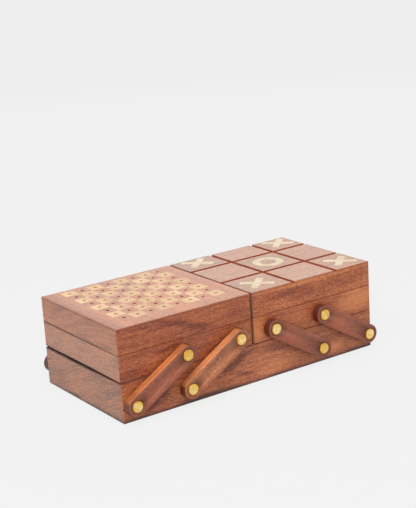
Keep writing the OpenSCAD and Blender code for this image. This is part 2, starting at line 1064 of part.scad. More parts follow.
module queen() {
  shaft_h = king_h - 2 * crown_r - foot_h / 2;
  turned_piece(shaft_h, foot_r * crown_share, true);
  translate([0, 0, shaft_h + crown_r / 2])
    sphere(r = crown_r, $fn = fine_curve);
}

module king() {
  shaft_h = king_h - finial_reach;
  turned_piece(shaft_h, foot_r * crown_share, true);
  translate([-finial_w / 2, -finial_w / 2, shaft_h - finial_w])
    cube([finial_w, finial_w, finial_reach + finial_w]);
  translate([-finial_reach / 2, -finial_w / 2, king_h - 2 * finial_w])
    cube([finial_reach, finial_w, finial_w]);
}

// Sixteen pieces lying in two rows on the floor of one bay, whose middle is at y
module chess_set(y) {
  pawn_foot_y = y - bay_depth / 2 + row_side_gap + peg_length;
  rank_foot_y = y + bay_depth / 2 - row_side_gap - king_h;
  lying_z = tray_floor_z + foot_r + piece_lift;
  for (i = [0 : 7]) {
    x = tray_middle_x + (i - 3.5) * piece_step;
    translate([x, pawn_foot_y, lying_z])
      rotate([-90, 0, 0])
        pawn();
    translate([x, rank_foot_y, lying_z])
      rotate([-90, 0, 0])
        back_rank_piece(i);
  }
}

module back_rank_piece(i) {
  if (i == 0 || i == 7)
    rook();
  if (i == 1 || i == 6)
    knight();
  if (i == 2 || i == 5)
    bishop();
  if (i == 3)
    queen();
  if (i == 4)
    king();
}

module light_chess_pieces() {
  color(light_wood)
    chess_set(-(bay_depth + partition_t) / 2);
}

module dark_chess_pieces() {
  color(dark_wood)
    chess_set((bay_depth + partition_t) / 2);
}

// A turned counter with a dished top
module counter() {
  edge_r = counter_h / 4;
  dish_r = counter_d / 3;
  difference() {
    rotate_extrude($fn = curve) {
      square([counter_d / 2 - edge_r, counter_h]);
      translate([0, edge_r])
        square([counter_d / 2, counter_h - 2 * edge_r]);
      for (z = [edge_r, counter_h - edge_r])
        translate([counter_d / 2 - edge_r, z])
          circle(edge_r, $fn = fine_curve);
    }
    translate([0, 0, counter_h])
      rotate_extrude($fn = curve)
        polygon([[0, -edge_r], [dish_r, 0], [dish_r, past], [0, past]]);
  }
}

// Four rows of four counters, one row for each player, in the right tray
module ludo_counters() {
  first_x = tray_low.x + wall + counter_first_x;
  color("#c9503a")
    right_side()
      for (i = [0 : 3], j = [0 : 3])
        translate([first_x + i * counter_step_x, (j - 1.5) * counter_step_y, tray_floor_z])
          counter();
}

// The die, with one to six pips on its faces
module die() {
  turns = [[0, 0, 0], [90, 0, 0], [0, 90, 0], [0, -90, 0], [-90, 0, 0], [180, 0, 0]];
  pips = [
    [[0, 0]],
    [[-1, -1], [1, 1]],
    [[-1, -1], [0, 0], [1, 1]],
    [[-1, -1], [1, 1], [-1, 1], [1, -1]],
    [[-1, -1], [1, 1], [-1, 1], [1, -1], [0, 0]],
    [[-1, -1], [1, 1], [-1, 1], [1, -1], [-1, 0], [1, 0]]
  ];
  color("#efe6d2")
    right_side()
      translate([tray_high.x - wall - die_inset, 0, tray_floor_z + die_size / 2])
        difference() {
          intersection() {
            cube(die_size, center = true);
            sphere(r = die_size * die_rounding, $fn = curve);
          }
          for (face = [0 : 5])
            rotate(turns[face])
              for (pip = pips[face])
                translate([pip.x * pip_spread, pip.y * pip_spread, die_size / 2 - pip_depth])
                  cylinder(h = pip_depth + past, r = pip_r, $fn = fine_curve);
        }
}

// The pieces by name

module left_tray_front_board() {
  tray_board("front");
}

module left_tray_rear_board() {
  tray_board("rear");
}

module left_tray_end_boards() {
  tray_end_boards();
}

module left_tray_floor() {
  tray_floor();
}

module left_tray_pivot_pins() {
  tray_pivot_pins();
}

module left_tray_pivot_washers() {
  tray_pivot_washers();
}

module left_tray_hinge_leaves() {
  tray_hinge_leaves();
}

module left_hinge_pins() {
  hinge_pins();
}

module left_tray_hinge_screws() {
  tray_hinge_screws();
}

// A thin board along the middle of the left tray, between the light pieces and the dark ones
module left_tray_divider() {
  color(mid_wood)
    translate([tray_low.x + wall, -partition_t / 2, tray_floor_z])
      cube([tray_length - 2 * wall, partition_t, tray_height - tray_floor_t - partition_drop]);
}

module right_tray_front_board() {
  right_side()
    tray_board("front");
}

module right_tray_rear_board() {
  right_side()
    tray_board("rear");
}

module right_tray_end_boards() {
  right_side()
    tray_end_boards();
}

module right_tray_floor() {
  right_side()
    tray_floor();
}

module right_tray_pivot_pins() {
  right_side()
    tray_pivot_pins();
}

module right_tray_pivot_washers() {
  right_side()
    tray_pivot_washers();
}

module right_tray_hinge_leaves() {
  right_side()
    tray_hinge_leaves();
}

module right_hinge_pins() {
  right_side()
    hinge_pins();
}

module right_tray_hinge_screws() {
  right_side()
    tray_hinge_screws();
}

module chess_lid_front_rim() {
  rim_board("front");
}

module chess_lid_rear_rim() {
  rim_board("rear");
}

module chess_lid_end_rims() {
  lid_end_rims();
}

module chess_lid_hinge_leaves() {
  lid_hinge_leaves();
}

module chess_lid_hinge_screws() {
  lid_hinge_screws();
}

module noughts_lid_front_rim() {
  right_side()
    rim_board("front");
}

module noughts_lid_rear_rim() {
  right_side()
    rim_board("rear");
}

module noughts_lid_end_rims() {
  right_side()
    lid_end_rims();
}

module noughts_lid_hinge_leaves() {
  right_side()
    lid_hinge_leaves();
}

module noughts_lid_hinge_screws() {
  right_side()
    lid_hinge_screws();
}

module front_left_outer_link() {
  placed_link(outer_pivot_x);
}

module front_left_inner_link() {
  placed_link(inner_pivot_x);
}

module rear_left_outer_link() {
  mirror([0, 1, 0])
    placed_link(outer_pivot_x);
}

module rear_left_inner_link() {
  mirror([0, 1, 0])
    placed_link(inner_pivot_x);
}

module front_right_outer_link() {
  right_side()
    placed_link(outer_pivot_x);
}

module front_right_inner_link() {
  right_side()
    placed_link(inner_pivot_x);
}

module rear_right_outer_link() {
  mirror([0, 1, 0])
    right_side()
      placed_link(outer_pivot_x);
}

module rear_right_inner_link() {
  mirror([0, 1, 0])
    right_side()
      placed_link(inner_pivot_x);
}

base_front_board();
base_rear_board();
base_left_end_board();
base_right_end_board();
base_floor();
base_partitions();
ludo_board();
ludo_red_inlays();
ludo_green_inlays();
ludo_yellow_inlays();
ludo_blue_inlays();
base_pivot_pins();
base_pivot_washers();
left_tray_front_board();
left_tray_rear_board();
left_tray_end_boards();
left_tray_floor();
left_tray_divider();
left_tray_pivot_pins();
left_tray_pivot_washers();
left_tray_hinge_leaves();
left_hinge_pins();
left_tray_hinge_screws();
right_tray_front_board();
right_tray_rear_board();
right_tray_end_boards();
right_tray_floor();
right_tray_pivot_pins();
right_tray_pivot_washers();
right_tray_hinge_leaves();
right_hinge_pins();
right_tray_hinge_screws();
chess_lid_top();
chess_light_squares();
chess_lid_front_rim();
chess_lid_rear_rim();
chess_lid_end_rims();
chess_lid_hinge_leaves();
chess_lid_hinge_screws();
noughts_lid_top();
noughts_marked_tiles();
cross_inlays();
nought_inlay();
noughts_lid_front_rim();
noughts_lid_rear_rim();
noughts_lid_end_rims();
noughts_lid_hinge_leaves();
noughts_lid_hinge_screws();
front_left_outer_link();
front_left_inner_link();
rear_left_outer_link();
rear_left_inner_link();
front_right_outer_link();
front_right_inner_link();
rear_right_outer_link();
rear_right_inner_link();
light_chess_pieces();
dark_chess_pieces();
ludo_counters();
die();
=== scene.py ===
import json
import math

import bpy
from mathutils import Matrix, Vector

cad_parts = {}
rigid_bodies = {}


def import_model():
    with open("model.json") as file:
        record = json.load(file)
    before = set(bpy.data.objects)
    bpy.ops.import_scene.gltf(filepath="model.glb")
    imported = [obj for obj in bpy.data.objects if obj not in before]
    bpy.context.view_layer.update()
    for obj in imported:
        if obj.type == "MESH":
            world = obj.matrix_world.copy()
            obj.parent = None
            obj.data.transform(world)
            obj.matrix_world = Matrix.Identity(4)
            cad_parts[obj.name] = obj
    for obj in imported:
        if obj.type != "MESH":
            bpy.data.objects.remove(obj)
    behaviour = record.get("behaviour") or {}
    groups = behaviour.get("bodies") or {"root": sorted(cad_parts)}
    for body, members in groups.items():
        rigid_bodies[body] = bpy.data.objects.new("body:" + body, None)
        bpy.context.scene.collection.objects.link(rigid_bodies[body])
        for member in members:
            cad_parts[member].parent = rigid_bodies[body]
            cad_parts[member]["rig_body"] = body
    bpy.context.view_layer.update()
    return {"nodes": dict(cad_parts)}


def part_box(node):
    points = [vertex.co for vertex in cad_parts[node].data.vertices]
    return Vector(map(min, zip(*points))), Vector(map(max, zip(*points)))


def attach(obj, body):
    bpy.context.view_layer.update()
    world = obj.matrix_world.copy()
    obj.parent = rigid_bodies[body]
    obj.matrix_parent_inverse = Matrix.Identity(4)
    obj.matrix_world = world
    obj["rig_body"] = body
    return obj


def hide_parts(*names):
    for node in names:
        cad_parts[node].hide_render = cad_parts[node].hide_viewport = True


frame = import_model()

nodes = frame["nodes"]
body_of = {node: piece["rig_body"] for node, piece in nodes.items()}
scene = bpy.context.scene
bpy.ops.object.select_all(action="DESELECT")

MM = 0.001
MICRON = 0.001 * MM
LID_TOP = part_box("noughts_lid_top")[1].z
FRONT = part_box("base_front_board")[0].y
HALF_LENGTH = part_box("base_right_end_board")[1].x
LINK_WIDTH = 16 * MM
PIN_HEAD_RADIUS = 4.75 * MM
LUDO_MARGIN = 1.8 * MM
COUNTER_WIDTH = 9 * MM


# Colours and node helpers

def srgb(red, green, blue):
    """A colour given as 0 to 255 sRGB values, as the linear colour that shaders use."""
    def linear(value):
        value /= 255
        return value / 12.92 if value <= 0.04045 else ((value + 0.055) / 1.055) ** 2.4
    return (linear(red), linear(green), linear(blue), 1.0)


def shade(colour, factor):
    """The same colour, lighter or darker."""
    return tuple(channel * factor for channel in colour[:3]) + (1.0,)


class Tree:
    """A material's node tree, with one short call for each kind of node. place is a point in the shared
    frame, x, y and z are its parts, and normal is the way that its face looks."""

    def __init__(self, name):
        self.material = bpy.data.materials.new(name)
        self.material.use_nodes = True
        self.tree = self.material.node_tree
        self.shader = self.tree.nodes["Principled BSDF"]
        coordinates = self.tree.nodes.new("ShaderNodeTexCoord")
        self.place = coordinates.outputs["Object"]
        self.normal = coordinates.outputs["Normal"]
        self.x, self.y, self.z = self.split(self.place)

    def set(self, socket, value):
        if hasattr(value, "is_output"):
            self.tree.links.new(value, socket)
        else:
            socket.default_value = value

    def node(self, kind, values=(), **settings):
        made = self.tree.nodes.new(kind)
        for key, value in settings.items():
            setattr(made, key, value)
        for place, value in dict(values).items():
            self.set(made.inputs[place], value)
        return made

    def math(self, operation, first, second=0.0):
        return self.node("ShaderNodeMath", {0: first, 1: second}, operation=operation).outputs[0]

    def vector(self, operation, first, second=(0, 0, 0)):
        return self.node("ShaderNodeVectorMath", {0: first, 1: second}, operation=operation).outputs[0]

    def length(self, vector):
        return self.node("ShaderNodeVectorMath", {0: vector}, operation="LENGTH").outputs["Value"]

    def dot(self, first, second):
        return self.node("ShaderNodeVectorMath", {0: first, 1: second},
                         operation="DOT_PRODUCT").outputs["Value"]

    def split(self, vector):
        return self.node("ShaderNodeSeparateXYZ", {0: vector}).outputs

    def join(self, x, y, z):
        return self.node("ShaderNodeCombineXYZ", {0: x, 1: y, 2: z}).outputs[0]

    def turned(self, x, z, cosine, sine):
        """x and z measured along axes that are turned by an angle, given by its cosine and sine."""
        along = self.math("ADD", self.math("MULTIPLY", x, cosine), self.math("MULTIPLY", z, sine))
        across = self.math("SUBTRACT", self.math("MULTIPLY", z, cosine), self.math("MULTIPLY", x, sine))
        return along, across

    def noise(self, vector, waves, detail=3.0, roughness=0.55):
        """Noise with its own number of waves a metre along each axis."""
        spread = self.vector("MULTIPLY", vector, waves)
        return self.node("ShaderNodeTexNoise", {"Vector": spread, "Scale": 1.0, "Detail": detail,
                                                "Roughness": roughness}).outputs["Fac"]

    def remap(self, value, low, high, new_low=0.0, new_high=1.0):
        return self.node("ShaderNodeMapRange", {"Value": value, "From Min": low, "From Max": high,
                                                "To Min": new_low, "To Max": new_high},
                         interpolation_type="SMOOTHSTEP").outputs["Result"]

    def total(self, start, *terms):
        """start plus each term, a term being (value, amount) and counted from the value's middle, 0.5."""
        result = start
        for value, amount in terms:
            swing = self.math("MULTIPLY", self.math("SUBTRACT", value, 0.5), amount)
            result = self.math("ADD", result, swing)
        return result

    def mix(self, factor, first, second, blend="MIX"):
        """The second colour over the first."""
        made = self.node("ShaderNodeMix", data_type="RGBA", blend_type=blend)
        ends = [socket for socket in made.inputs if socket.type == "RGBA"]
        self.set(made.inputs["Factor"], factor)
        self.set(ends[0], first)
        self.set(ends[1], second)
        return next(socket for socket in made.outputs if socket.type == "RGBA")

    def choose(self, factor, first, second):
        """The first vector where factor is 0 and the second where it is 1."""
        made = self.node("ShaderNodeMix", data_type="VECTOR")
        ends = [socket for socket in made.inputs if socket.type == "VECTOR" and socket.name in ("A", "B")]
        self.set(made.inputs["Factor"], factor)
        self.set(ends[0], first)
        self.set(ends[1], second)
        return next(socket for socket in made.outputs if socket.type == "VECTOR")

    def ramp(self, value, stops):
        made = self.node("ShaderNodeValToRGB", {"Fac": value})
        elements = made.color_ramp.elements
        while len(elements) < len(stops):
            elements.new(0.5)
        for element, (position, colour) in zip(elements, stops):
            element.position = position
            element.color = colour
        return made.outputs["Color"]

    def bump(self, height, strength, distance):
        return self.node("ShaderNodeBump", {"Height": height, "Strength": strength,
                                            "Distance": distance}).outputs[0]


# Wood

# Waves a metre along the grain, across it and into the board
SWAY_WAVES = (8, 9, 9)
BAND_WAVES = (6, 110, 60)
STREAK_WAVES = (24, 620, 300)
FLECK_WAVES = (330, 1250, 1250)
FIBRE_WAVES = (140, 2600, 2600)
PORE_WAVES = (420, 2500, 2200)
CLOUD_WAVES = (18, 40, 30)

SWAY_REACH = (0, 22 * MM, 10 * MM)
SEED_STEP = (0.713, 0.391, 0.237)
# Just over the cosine of 45 degrees, so that the grain on a bevel is that of the front
FACING = 0.71
END_STRETCH = 2.0
MARK_DEPTH = 20 * MM
RIM_DEPTH = 1.5 * MM
STAIN_LIMIT = 3 * MM
LIVELIER = 1.5
FOOT_UNEVENNESS = 9 * MM
SEAM_OPENING = 45 * MM
PIN_SHADE_REACH = 9 * MM
PIN_LINE_REACH = 0.9 * MM


def seeded(tree, place, seed):
    """place moved off to the stretch of noise that the seed stands for."""
    return tree.vector("ADD", place, tuple(seed * step for step in SEED_STEP))


def grain_coordinates(tree, top_grain, end_slope, seed):
    """Object coordinates turned so that X runs along the grain and Y across it, on every face."""
    facing = tree.split(tree.vector("ABSOLUTE", tree.normal))
    is_end = tree.math("GREATER_THAN", facing[0], FACING)
    is_top = tree.math("GREATER_THAN", facing[2], FACING)
    on_front = tree.join(tree.x, tree.z, tree.y)
    sloped = tree.math("ADD", tree.z, tree.math("MULTIPLY", tree.y, end_slope))
    on_end = tree.join(tree.math("MULTIPLY", tree.y, END_STRETCH), sloped, tree.x)
    on_top = tree.join(tree.y, tree.x, tree.z) if top_grain == "y" else tree.place
    placed = tree.choose(is_top, tree.choose(is_end, on_front, on_end), on_top)
    return seeded(tree, placed, seed)


def link_coordinates(tree, axis, seed):
    """Object coordinates turned so that X runs along a link, whose grain is its length."""
    along, across = tree.turned(tree.x, tree.z, axis.x, axis.z)
    return seeded(tree, tree.join(along, across, tree.y), seed)


def pin_distance(tree, x, z):
    """How far each point lies from the axis of the pin at x, z."""
    offset = tree.vector("SUBTRACT", tree.place, (x, 0, z))
    return tree.length(tree.vector("MULTIPLY", offset, (1, 0, 1)))


def figure_mark(tree, value, ragged, mark):
    """value with a darker or lighter cloud of figure added: mark is (centre, half size, lean, change),
    its centre and half size in millimetres along X and Z, on the front, and its lean in degrees."""
    (x, z), (half_x, half_z), lean, change = mark
    offset = tree.split(tree.vector("SUBTRACT", tree.place, (x * MM, FRONT, z * MM)))
    turn = math.radians(lean)
    along, across = tree.turned(offset[0], offset[2], math.cos(turn), math.sin(turn))
    size = (half_x * MM, half_z * MM, MARK_DEPTH)
    scaled = tree.vector("DIVIDE", tree.join(along, across, offset[1]), size)
    reach = tree.total(tree.length(scaled), (ragged, 1.6))
    return tree.math("ADD", value, tree.remap(reach, 1.3, 0.3, 0.0, change))


def paint_edge_light_and_shade(tree, tone, edge_light_and_shade, axis, squares, fibres, streaks):
    """tone with a link's long sides and its end grain in their own two colours, streaked by the grain.
    The sides are a painted highlight on the front left links and painted shade on the others; the end
    grain is darker partly in its own colour and partly by painted shade.
    """
    end_grain = tree.remap(tree.math("ABSOLUTE", tree.dot(tree.normal, axis)), 0.25, 0.75)
    side_tone = tree.mix(end_grain, edge_light_and_shade[0], edge_light_and_shade[1])
    grain = tree.remap(tree.total(0.5, (fibres, 1.2), (streaks, 1.2)), 0.1, 0.9, 0.66, 1.08)
    side_tone = tree.mix(1.0, side_tone, tree.join(grain, grain, grain), "MULTIPLY")
    return tree.mix(tree.remap(squares[1], 0.75, 0.35), tone, side_tone)


def deepen_rim(tree, tone, dark, top_rim):
    """tone with a deeper colour towards the left end and the front of a lid's top: top_rim is (reach from
    the left end, reach from the front, amount), its reaches in millimetres."""
    end_reach, front_reach, amount = top_rim
    from_end = tree.remap(tree.x, end_reach * MM - HALF_LENGTH, -HALF_LENGTH)
    from_front = tree.remap(tree.y, FRONT + front_reach * MM, FRONT)
    rim = tree.math("MULTIPLY", tree.math("MAXIMUM", from_end, from_front), amount)
    rim = tree.math("MULTIPLY", rim, tree.math("GREATER_THAN", tree.z, LID_TOP - RIM_DEPTH))
    return tree.mix(rim, tone, dark)


def shade_grooves(tree, tone, groove_shade):
    """tone with painted shade in the sawn grooves: what lies just under the top face, inside the outer
    faces.
    """
    deep = tree.remap(tree.z, LID_TOP - 0.2 * MM, LID_TOP - 0.6 * MM)
    deep = tree.math("MULTIPLY", deep, tree.math("GREATER_THAN", tree.z, LID_TOP - STAIN_LIMIT))
    within = tree.math("LESS_THAN", tree.math("ABSOLUTE", tree.y), -FRONT - 1.0 * MM)
    within = tree.math("MULTIPLY", within, tree.math("GREATER_THAN", tree.x, 1.6 * MM))
    within = tree.math("MULTIPLY", within, tree.math("LESS_THAN", tree.x, HALF_LENGTH - 1.0 * MM))
    return tree.mix(tree.math("MULTIPLY", deep, within), tone, groove_shade)


def darken_foot(tree, tone, clouds):
    """tone with an uneven painted shade along the foot of the box."""
    uneven = tree.total(tree.z, (clouds, -FOOT_UNEVENNESS))
    return tree.mix(tree.remap(uneven, 4.6 * MM, 1.2 * MM, 0.0, 0.85), tone, PAINTED_SHADE_DARK)


def darken_seams(tree, tone, seams, squares, clouds):
    """tone with uneven painted shade along the seams. On the box's ends a seam is painted as opening
    towards the rear, where its shade is wider and darker and the faces just inside it are painted dark
    too."""
    at_end = tree.remap(tree.math("ABSOLUTE", tree.x), HALF_LENGTH - 3 * MM, HALF_LENGTH - 0.8 * MM)
    open_seam = tree.math("MULTIPLY", at_end, tree.remap(tree.y, FRONT, FRONT + SEAM_OPENING))
    widening = tree.math("ADD", 1.0, tree.math("MULTIPLY", open_seam, 0.9))
    patches = tree.remap(clouds, 0.2, 0.7, 0.5, 1.2)
    sideways = tree.math("MAXIMUM", at_end, tree.remap(squares[2], 0.95, 0.6))
    for height, half_width, amount in seams:
        off_seam = tree.math("ABSOLUTE", tree.math("SUBTRACT", tree.z, height * MM))
        off_seam = tree.math("DIVIDE", off_seam, widening)
        near = tree.remap(off_seam, half_width * MM, half_width * 0.4 * MM, 0.0, amount)
        near = tree.math("MULTIPLY", tree.math("MULTIPLY", near, widening), patches)
        tone = tree.mix(tree.math("MULTIPLY", near, sideways), tone, PAINTED_SHADE_DARK)
    return tone


def darken_middle(tree, tone, facing_end):
    """tone with painted shade where the two halves of the box meet, fainter on the faces that meet."""
    near = tree.remap(tree.math("ABSOLUTE", tree.x), 1.7 * MM, 0.8 * MM, 0.0, 0.75)
    near = tree.math("MULTIPLY", near, tree.remap(facing_end, 0.0, 1.0, 1.0, 0.6))
    return tree.mix(near, tone, PAINTED_SHADE_DARK)


def darken_round_pins(tree, tone, dark, pins):
    """tone darker softly in a wide ring round each brass head, with a narrow painted shadow line where
    the head meets the wood.
    """
    for x, z, radius in pins:
        distance = pin_distance(tree, x, z)
        soft = tree.remap(distance, radius + PIN_SHADE_REACH, radius, 0.0, 0.4)
        tone = tree.mix(soft, tone, shade(dark, 0.6))
        # Painted shadow in the gap round the head
        line = tree.remap(distance, radius + PIN_LINE_REACH, radius, 0.0, 0.75)
        tone = tree.mix(line, tone, shade(dark, 0.35))
    return tone


def wood(name, tones, seed, top_grain="x", end_slope=0.0, figure=0.4, streak=0.8, fleck=1.0, pore=0.5,
         top_sheen=None, end_sheen=None, marks=(), edge_light_and_shade=None, pins=(), groove_shade=None,
         foot_shade=False, seams=(), middle_edge=False, top_rim=None, tone_for=None, roughness=0.42):
    """Oiled open-grained wood. tones are its dark, middle and light colours. figure, streak, fleck and
    pore say how strongly its wide bands, its streaks, its short flecks and its pores show. A sheen is the
    colour and amount by which the tops and the ends are paler, a painted reflection. marks are clouds of
    figure on the front, and one of the base's is a painted shadow. pins are the (x, z, radius) of the
    brass heads on a link, whose grain runs from the one to the other, and edge_light_and_shade colours
    its sides with painted highlight or painted shade and its end grain darker. groove_shade is painted
    shade in the grooves. seams are (height, half width, amount) of painted shade, the first two in
    millimetres.
    foot_shade and middle_edge paint shade along the foot and where the two halves meet; top_rim and
    tone_for change the colour by place."""
    tree = Tree(name)
    dark, middle, light = tones
    if pins:
        low_pin, high_pin = pins
        axis = Vector((high_pin[0] - low_pin[0], 0, high_pin[1] - low_pin[1])).normalized()
        place = link_coordinates(tree, axis, seed)
    else:
        place = grain_coordinates(tree, top_grain, end_slope, seed)
    sway = tree.node("ShaderNodeTexNoise", {"Vector": tree.vector("MULTIPLY", place, SWAY_WAVES),
                                            "Scale": 1.0, "Detail": 2.0}).outputs["Color"]
    sway = tree.vector("MULTIPLY", tree.vector("SUBTRACT", sway, (0.5, 0.5, 0.5)), SWAY_REACH)
    wavy = tree.vector("ADD", place, sway)
    bands = tree.noise(wavy, BAND_WAVES)
    streaks = tree.noise(wavy, STREAK_WAVES, detail=4.0)
    flecks = tree.noise(wavy, FLECK_WAVES, roughness=0.65)
    fibres = tree.noise(wavy, FIBRE_WAVES, detail=2.0)
    clouds = tree.noise(place, CLOUD_WAVES)
    pores = tree.remap(tree.noise(wavy, PORE_WAVES, detail=1.0), 0.56, 0.70)

    squares = tree.split(tree.vector("MULTIPLY", tree.normal, tree.normal))
    facing_up = tree.remap(tree.split(tree.normal)[2], 0.6, 0.95)
    facing_end = tree.remap(squares[0], 0.3, 0.9)
    value = tree.total(0.5, (bands, figure * 1.5), (streaks, streak), (flecks, fleck * 1.6),
                       (clouds, 0.6))
    for mark in marks:
        value = figure_mark(tree, value, bands, mark)
    # The sheened faces, the tops and the ends, need a livelier figure for it to show through the painted
    # sheen
    sheened_faces = tree.math("MULTIPLY", tree.math("ADD", facing_up, facing_end), LIVELIER)
    contrast = tree.math("MULTIPLY", tree.math("SUBTRACT", value, 0.5), tree.math("ADD", 1.0, sheened_faces))
    value = tree.math("ADD", 0.5, contrast)
    tone = tree.ramp(value, [(0.1, dark), (0.5, middle), (0.9, light)])
    tone = tree.mix(tree.math("MULTIPLY", pores, pore), tone, shade(dark, 0.35))

    if edge_light_and_shade:
        tone = paint_edge_light_and_shade(tree, tone, edge_light_and_shade, axis, squares, fibres, streaks)
    # Painted reflection: the ends and the tops are made paler, as the sheen of the bright studio
    if end_sheen:
        tone = tree.mix(tree.math("MULTIPLY", facing_end, end_sheen[1]), tone, end_sheen[0])
    if top_sheen:
        tone = tree.mix(tree.math("MULTIPLY", facing_up, top_sheen[1]), tone, top_sheen[0])
    if top_rim:
        tone = deepen_rim(tree, tone, dark, top_rim)
    if groove_shade:
        tone = shade_grooves(tree, tone, groove_shade)
    if foot_shade:
        tone = darken_foot(tree, tone, clouds)
    if seams:
        tone = darken_seams(tree, tone, seams, squares, clouds)
    if middle_edge:
        tone = darken_middle(tree, tone, facing_end)
    tone = darken_round_pins(tree, tone, dark, pins)
    if tone_for:
        tone = tone_for(tree, tone, clouds)
    tree.set(tree.shader.inputs["Base Color"], tone)

    gloss = tree.total(roughness, (clouds, 0.14))
    gloss = tree.math("ADD", gloss, tree.math("MULTIPLY", pores, 0.2))
    tree.set(tree.shader.inputs["Roughness"], gloss)
    height = tree.math("SUBTRACT", tree.math("MULTIPLY", fibres, 0.3), pores)
    tree.set(tree.shader.inputs["Normal"], tree.bump(height, 0.3, 0.1 * MM))
    return tree.material


# Metal, inlays and paint

BRASS_ROUGHNESS = 0.3
RING_PITCH = 0.55 * MM


def brass(name, tones, heads=()):
    """Rubbed brass: cloudy from pin to pin, mottled and finely scratched. heads are (x, z, radius) of the
    turned pin heads, which carry faint rings and a deeper golden rim that is a painted reflection of
    their turned edge."""
    tree = Tree(name)
    clouds = tree.noise(tree.vector("ADD", tree.place, (0.31, 0.17, 0.43)), (24, 24, 24), detail=1.0)
    mottle = tree.noise(tree.place, (420, 420, 420), detail=2.0)
    scratches = tree.noise(tree.place, (900, 9000, 5000), detail=2.0)
    value = tree.total(0.56, (clouds, 1.3), (mottle, 1.6))
    tone = tree.ramp(value, [(0.1, tones[0]), (0.55, tones[1]), (0.95, tones[2])])
    height = scratches
    for x, z, radius in heads:
        distance = pin_distance(tree, x, z)
        rim = tree.math("MULTIPLY", tree.remap(distance, radius - 1.6 * MM, radius, 0.0, 0.9),
                        tree.math("LESS_THAN", distance, radius + 0.2 * MM))
        tone = tree.mix(rim, tone, BRASS_RIM_REFLECTION)
        rings = tree.math("SINE", tree.math("MULTIPLY", distance, math.tau / RING_PITCH))
        rings = tree.math("MULTIPLY", rings, tree.math("LESS_THAN", distance, radius))
        height = tree.math("ADD", height, tree.math("MULTIPLY", rings, 0.25))
    tree.set(tree.shader.inputs["Base Color"], tone)
    tree.shader.inputs["Metallic"].default_value = 1.0
    tree.set(tree.shader.inputs["Roughness"], tree.total(BRASS_ROUGHNESS, (mottle, 0.3)))
    tree.set(tree.shader.inputs["Normal"], tree.bump(height, 0.2, 50 * MICRON))
    return tree.material


def smooth_inlay(name, tones, roughness=0.35, cloud_scale=260, tone_for=None):
    """A dense pale inlay or painted surface, with cloudy tone and faint handling marks. tone_for may
    change the tone by place, as on the four players' counters."""
    tree = Tree(name)
    clouds = tree.remap(tree.noise(tree.place, (cloud_scale,) * 3, detail=4.0), 0.3, 0.7)
    marks = tree.noise(tree.place, (700, 2500, 700))
    tone = tree.mix(clouds, tones[0], tones[1])
    if tone_for:
        tone = tone_for(tree, tone, clouds)
    tree.set(tree.shader.inputs["Base Color"], tone)
    tree.set(tree.shader.inputs["Roughness"], tree.total(roughness, (marks, 0.16)))
    tree.set(tree.shader.inputs["Normal"], tree.bump(marks, 0.15, 50 * MICRON))
    return tree.material


# The dark, middle and light tones of each wood
RED_WOOD = (srgb(114, 50, 33), srgb(172, 92, 56), srgb(208, 126, 78))
GOLD_WOOD = (srgb(132, 62, 38), srgb(188, 104, 63), srgb(220, 138, 86))
BASE_WOOD = (srgb(116, 56, 38), srgb(185, 106, 68), srgb(220, 140, 94))
FLOOR_WOOD = (srgb(112, 56, 38), srgb(156, 90, 60), srgb(186, 118, 80))
LINK_DARK = (srgb(108, 54, 39), srgb(163, 89, 61), srgb(192, 114, 81))
LINK_LIGHT = (srgb(122, 64, 42), srgb(184, 108, 70), srgb(220, 148, 98))
PALE_WOOD = (srgb(196, 148, 98), srgb(222, 177, 124), srgb(236, 198, 148))
EBONY_WOOD = (srgb(46, 30, 26), srgb(70, 46, 38), srgb(98, 64, 50))

# The long sides and the end grain of the links, as (sides, end grain): the lit sides are painted
# highlight, the shaded sides painted shade, and the end grain is darker partly in its own colour, partly
# by painted shade
PAINTED_LIT_EDGE = (srgb(222, 130, 70), srgb(108, 50, 34))
PAINTED_LIT_GOLDEN_EDGE = (srgb(236, 150, 92), srgb(112, 52, 36))
PAINTED_SHADED_EDGE = (srgb(150, 66, 38), srgb(108, 42, 26))
PAINTED_SHADED_REAR_EDGE = (srgb(126, 62, 42), srgb(78, 48, 42))

# Painted shade inside the grooves of the noughts lid
GROOVE_SHADE_TONE = srgb(174, 92, 68)
# The dark of the painted shade along the foot, the seams and the middle of the box
PAINTED_SHADE_DARK = srgb(44, 28, 24)
LUDO_LINE = srgb(92, 52, 34)
PIP_BLACK = srgb(28, 24, 22)

# Painted sheen on the tops and the ends, a reflection of the bright studio laid into the colour, as
# (colour, amount)
CHESS_TOP = (srgb(210, 152, 118), 0.5)
PLAIN_TILE_TOP = (srgb(196, 160, 138), 0.55)
MARKED_TILE_TOP = (srgb(180, 154, 134), 0.55)
LEFT_END = (srgb(212, 166, 142), 0.4)
TRAY_END = (srgb(216, 176, 154), 0.42)
BASE_END = (srgb(176, 146, 128), 0.42)

# Inlays, stains and paint, as (darker, lighter)
CREAM = (srgb(202, 168, 110), srgb(217, 198, 163))
BONE = (srgb(226, 216, 190), srgb(240, 232, 212))
RED_STAIN = (srgb(150, 34, 28), srgb(184, 52, 40))
GREEN_STAIN = (srgb(34, 100, 56), srgb(52, 128, 72))
YELLOW_STAIN = (srgb(208, 158, 42), srgb(232, 184, 66))
BLUE_STAIN = (srgb(30, 70, 130), srgb(48, 94, 160))

BRASS_TONES = (srgb(226, 172, 70), srgb(242, 202, 112), srgb(255, 234, 176))
# Painted reflection: the deeper gold of a pin head's rim
BRASS_RIM_REFLECTION = srgb(214, 148, 44)

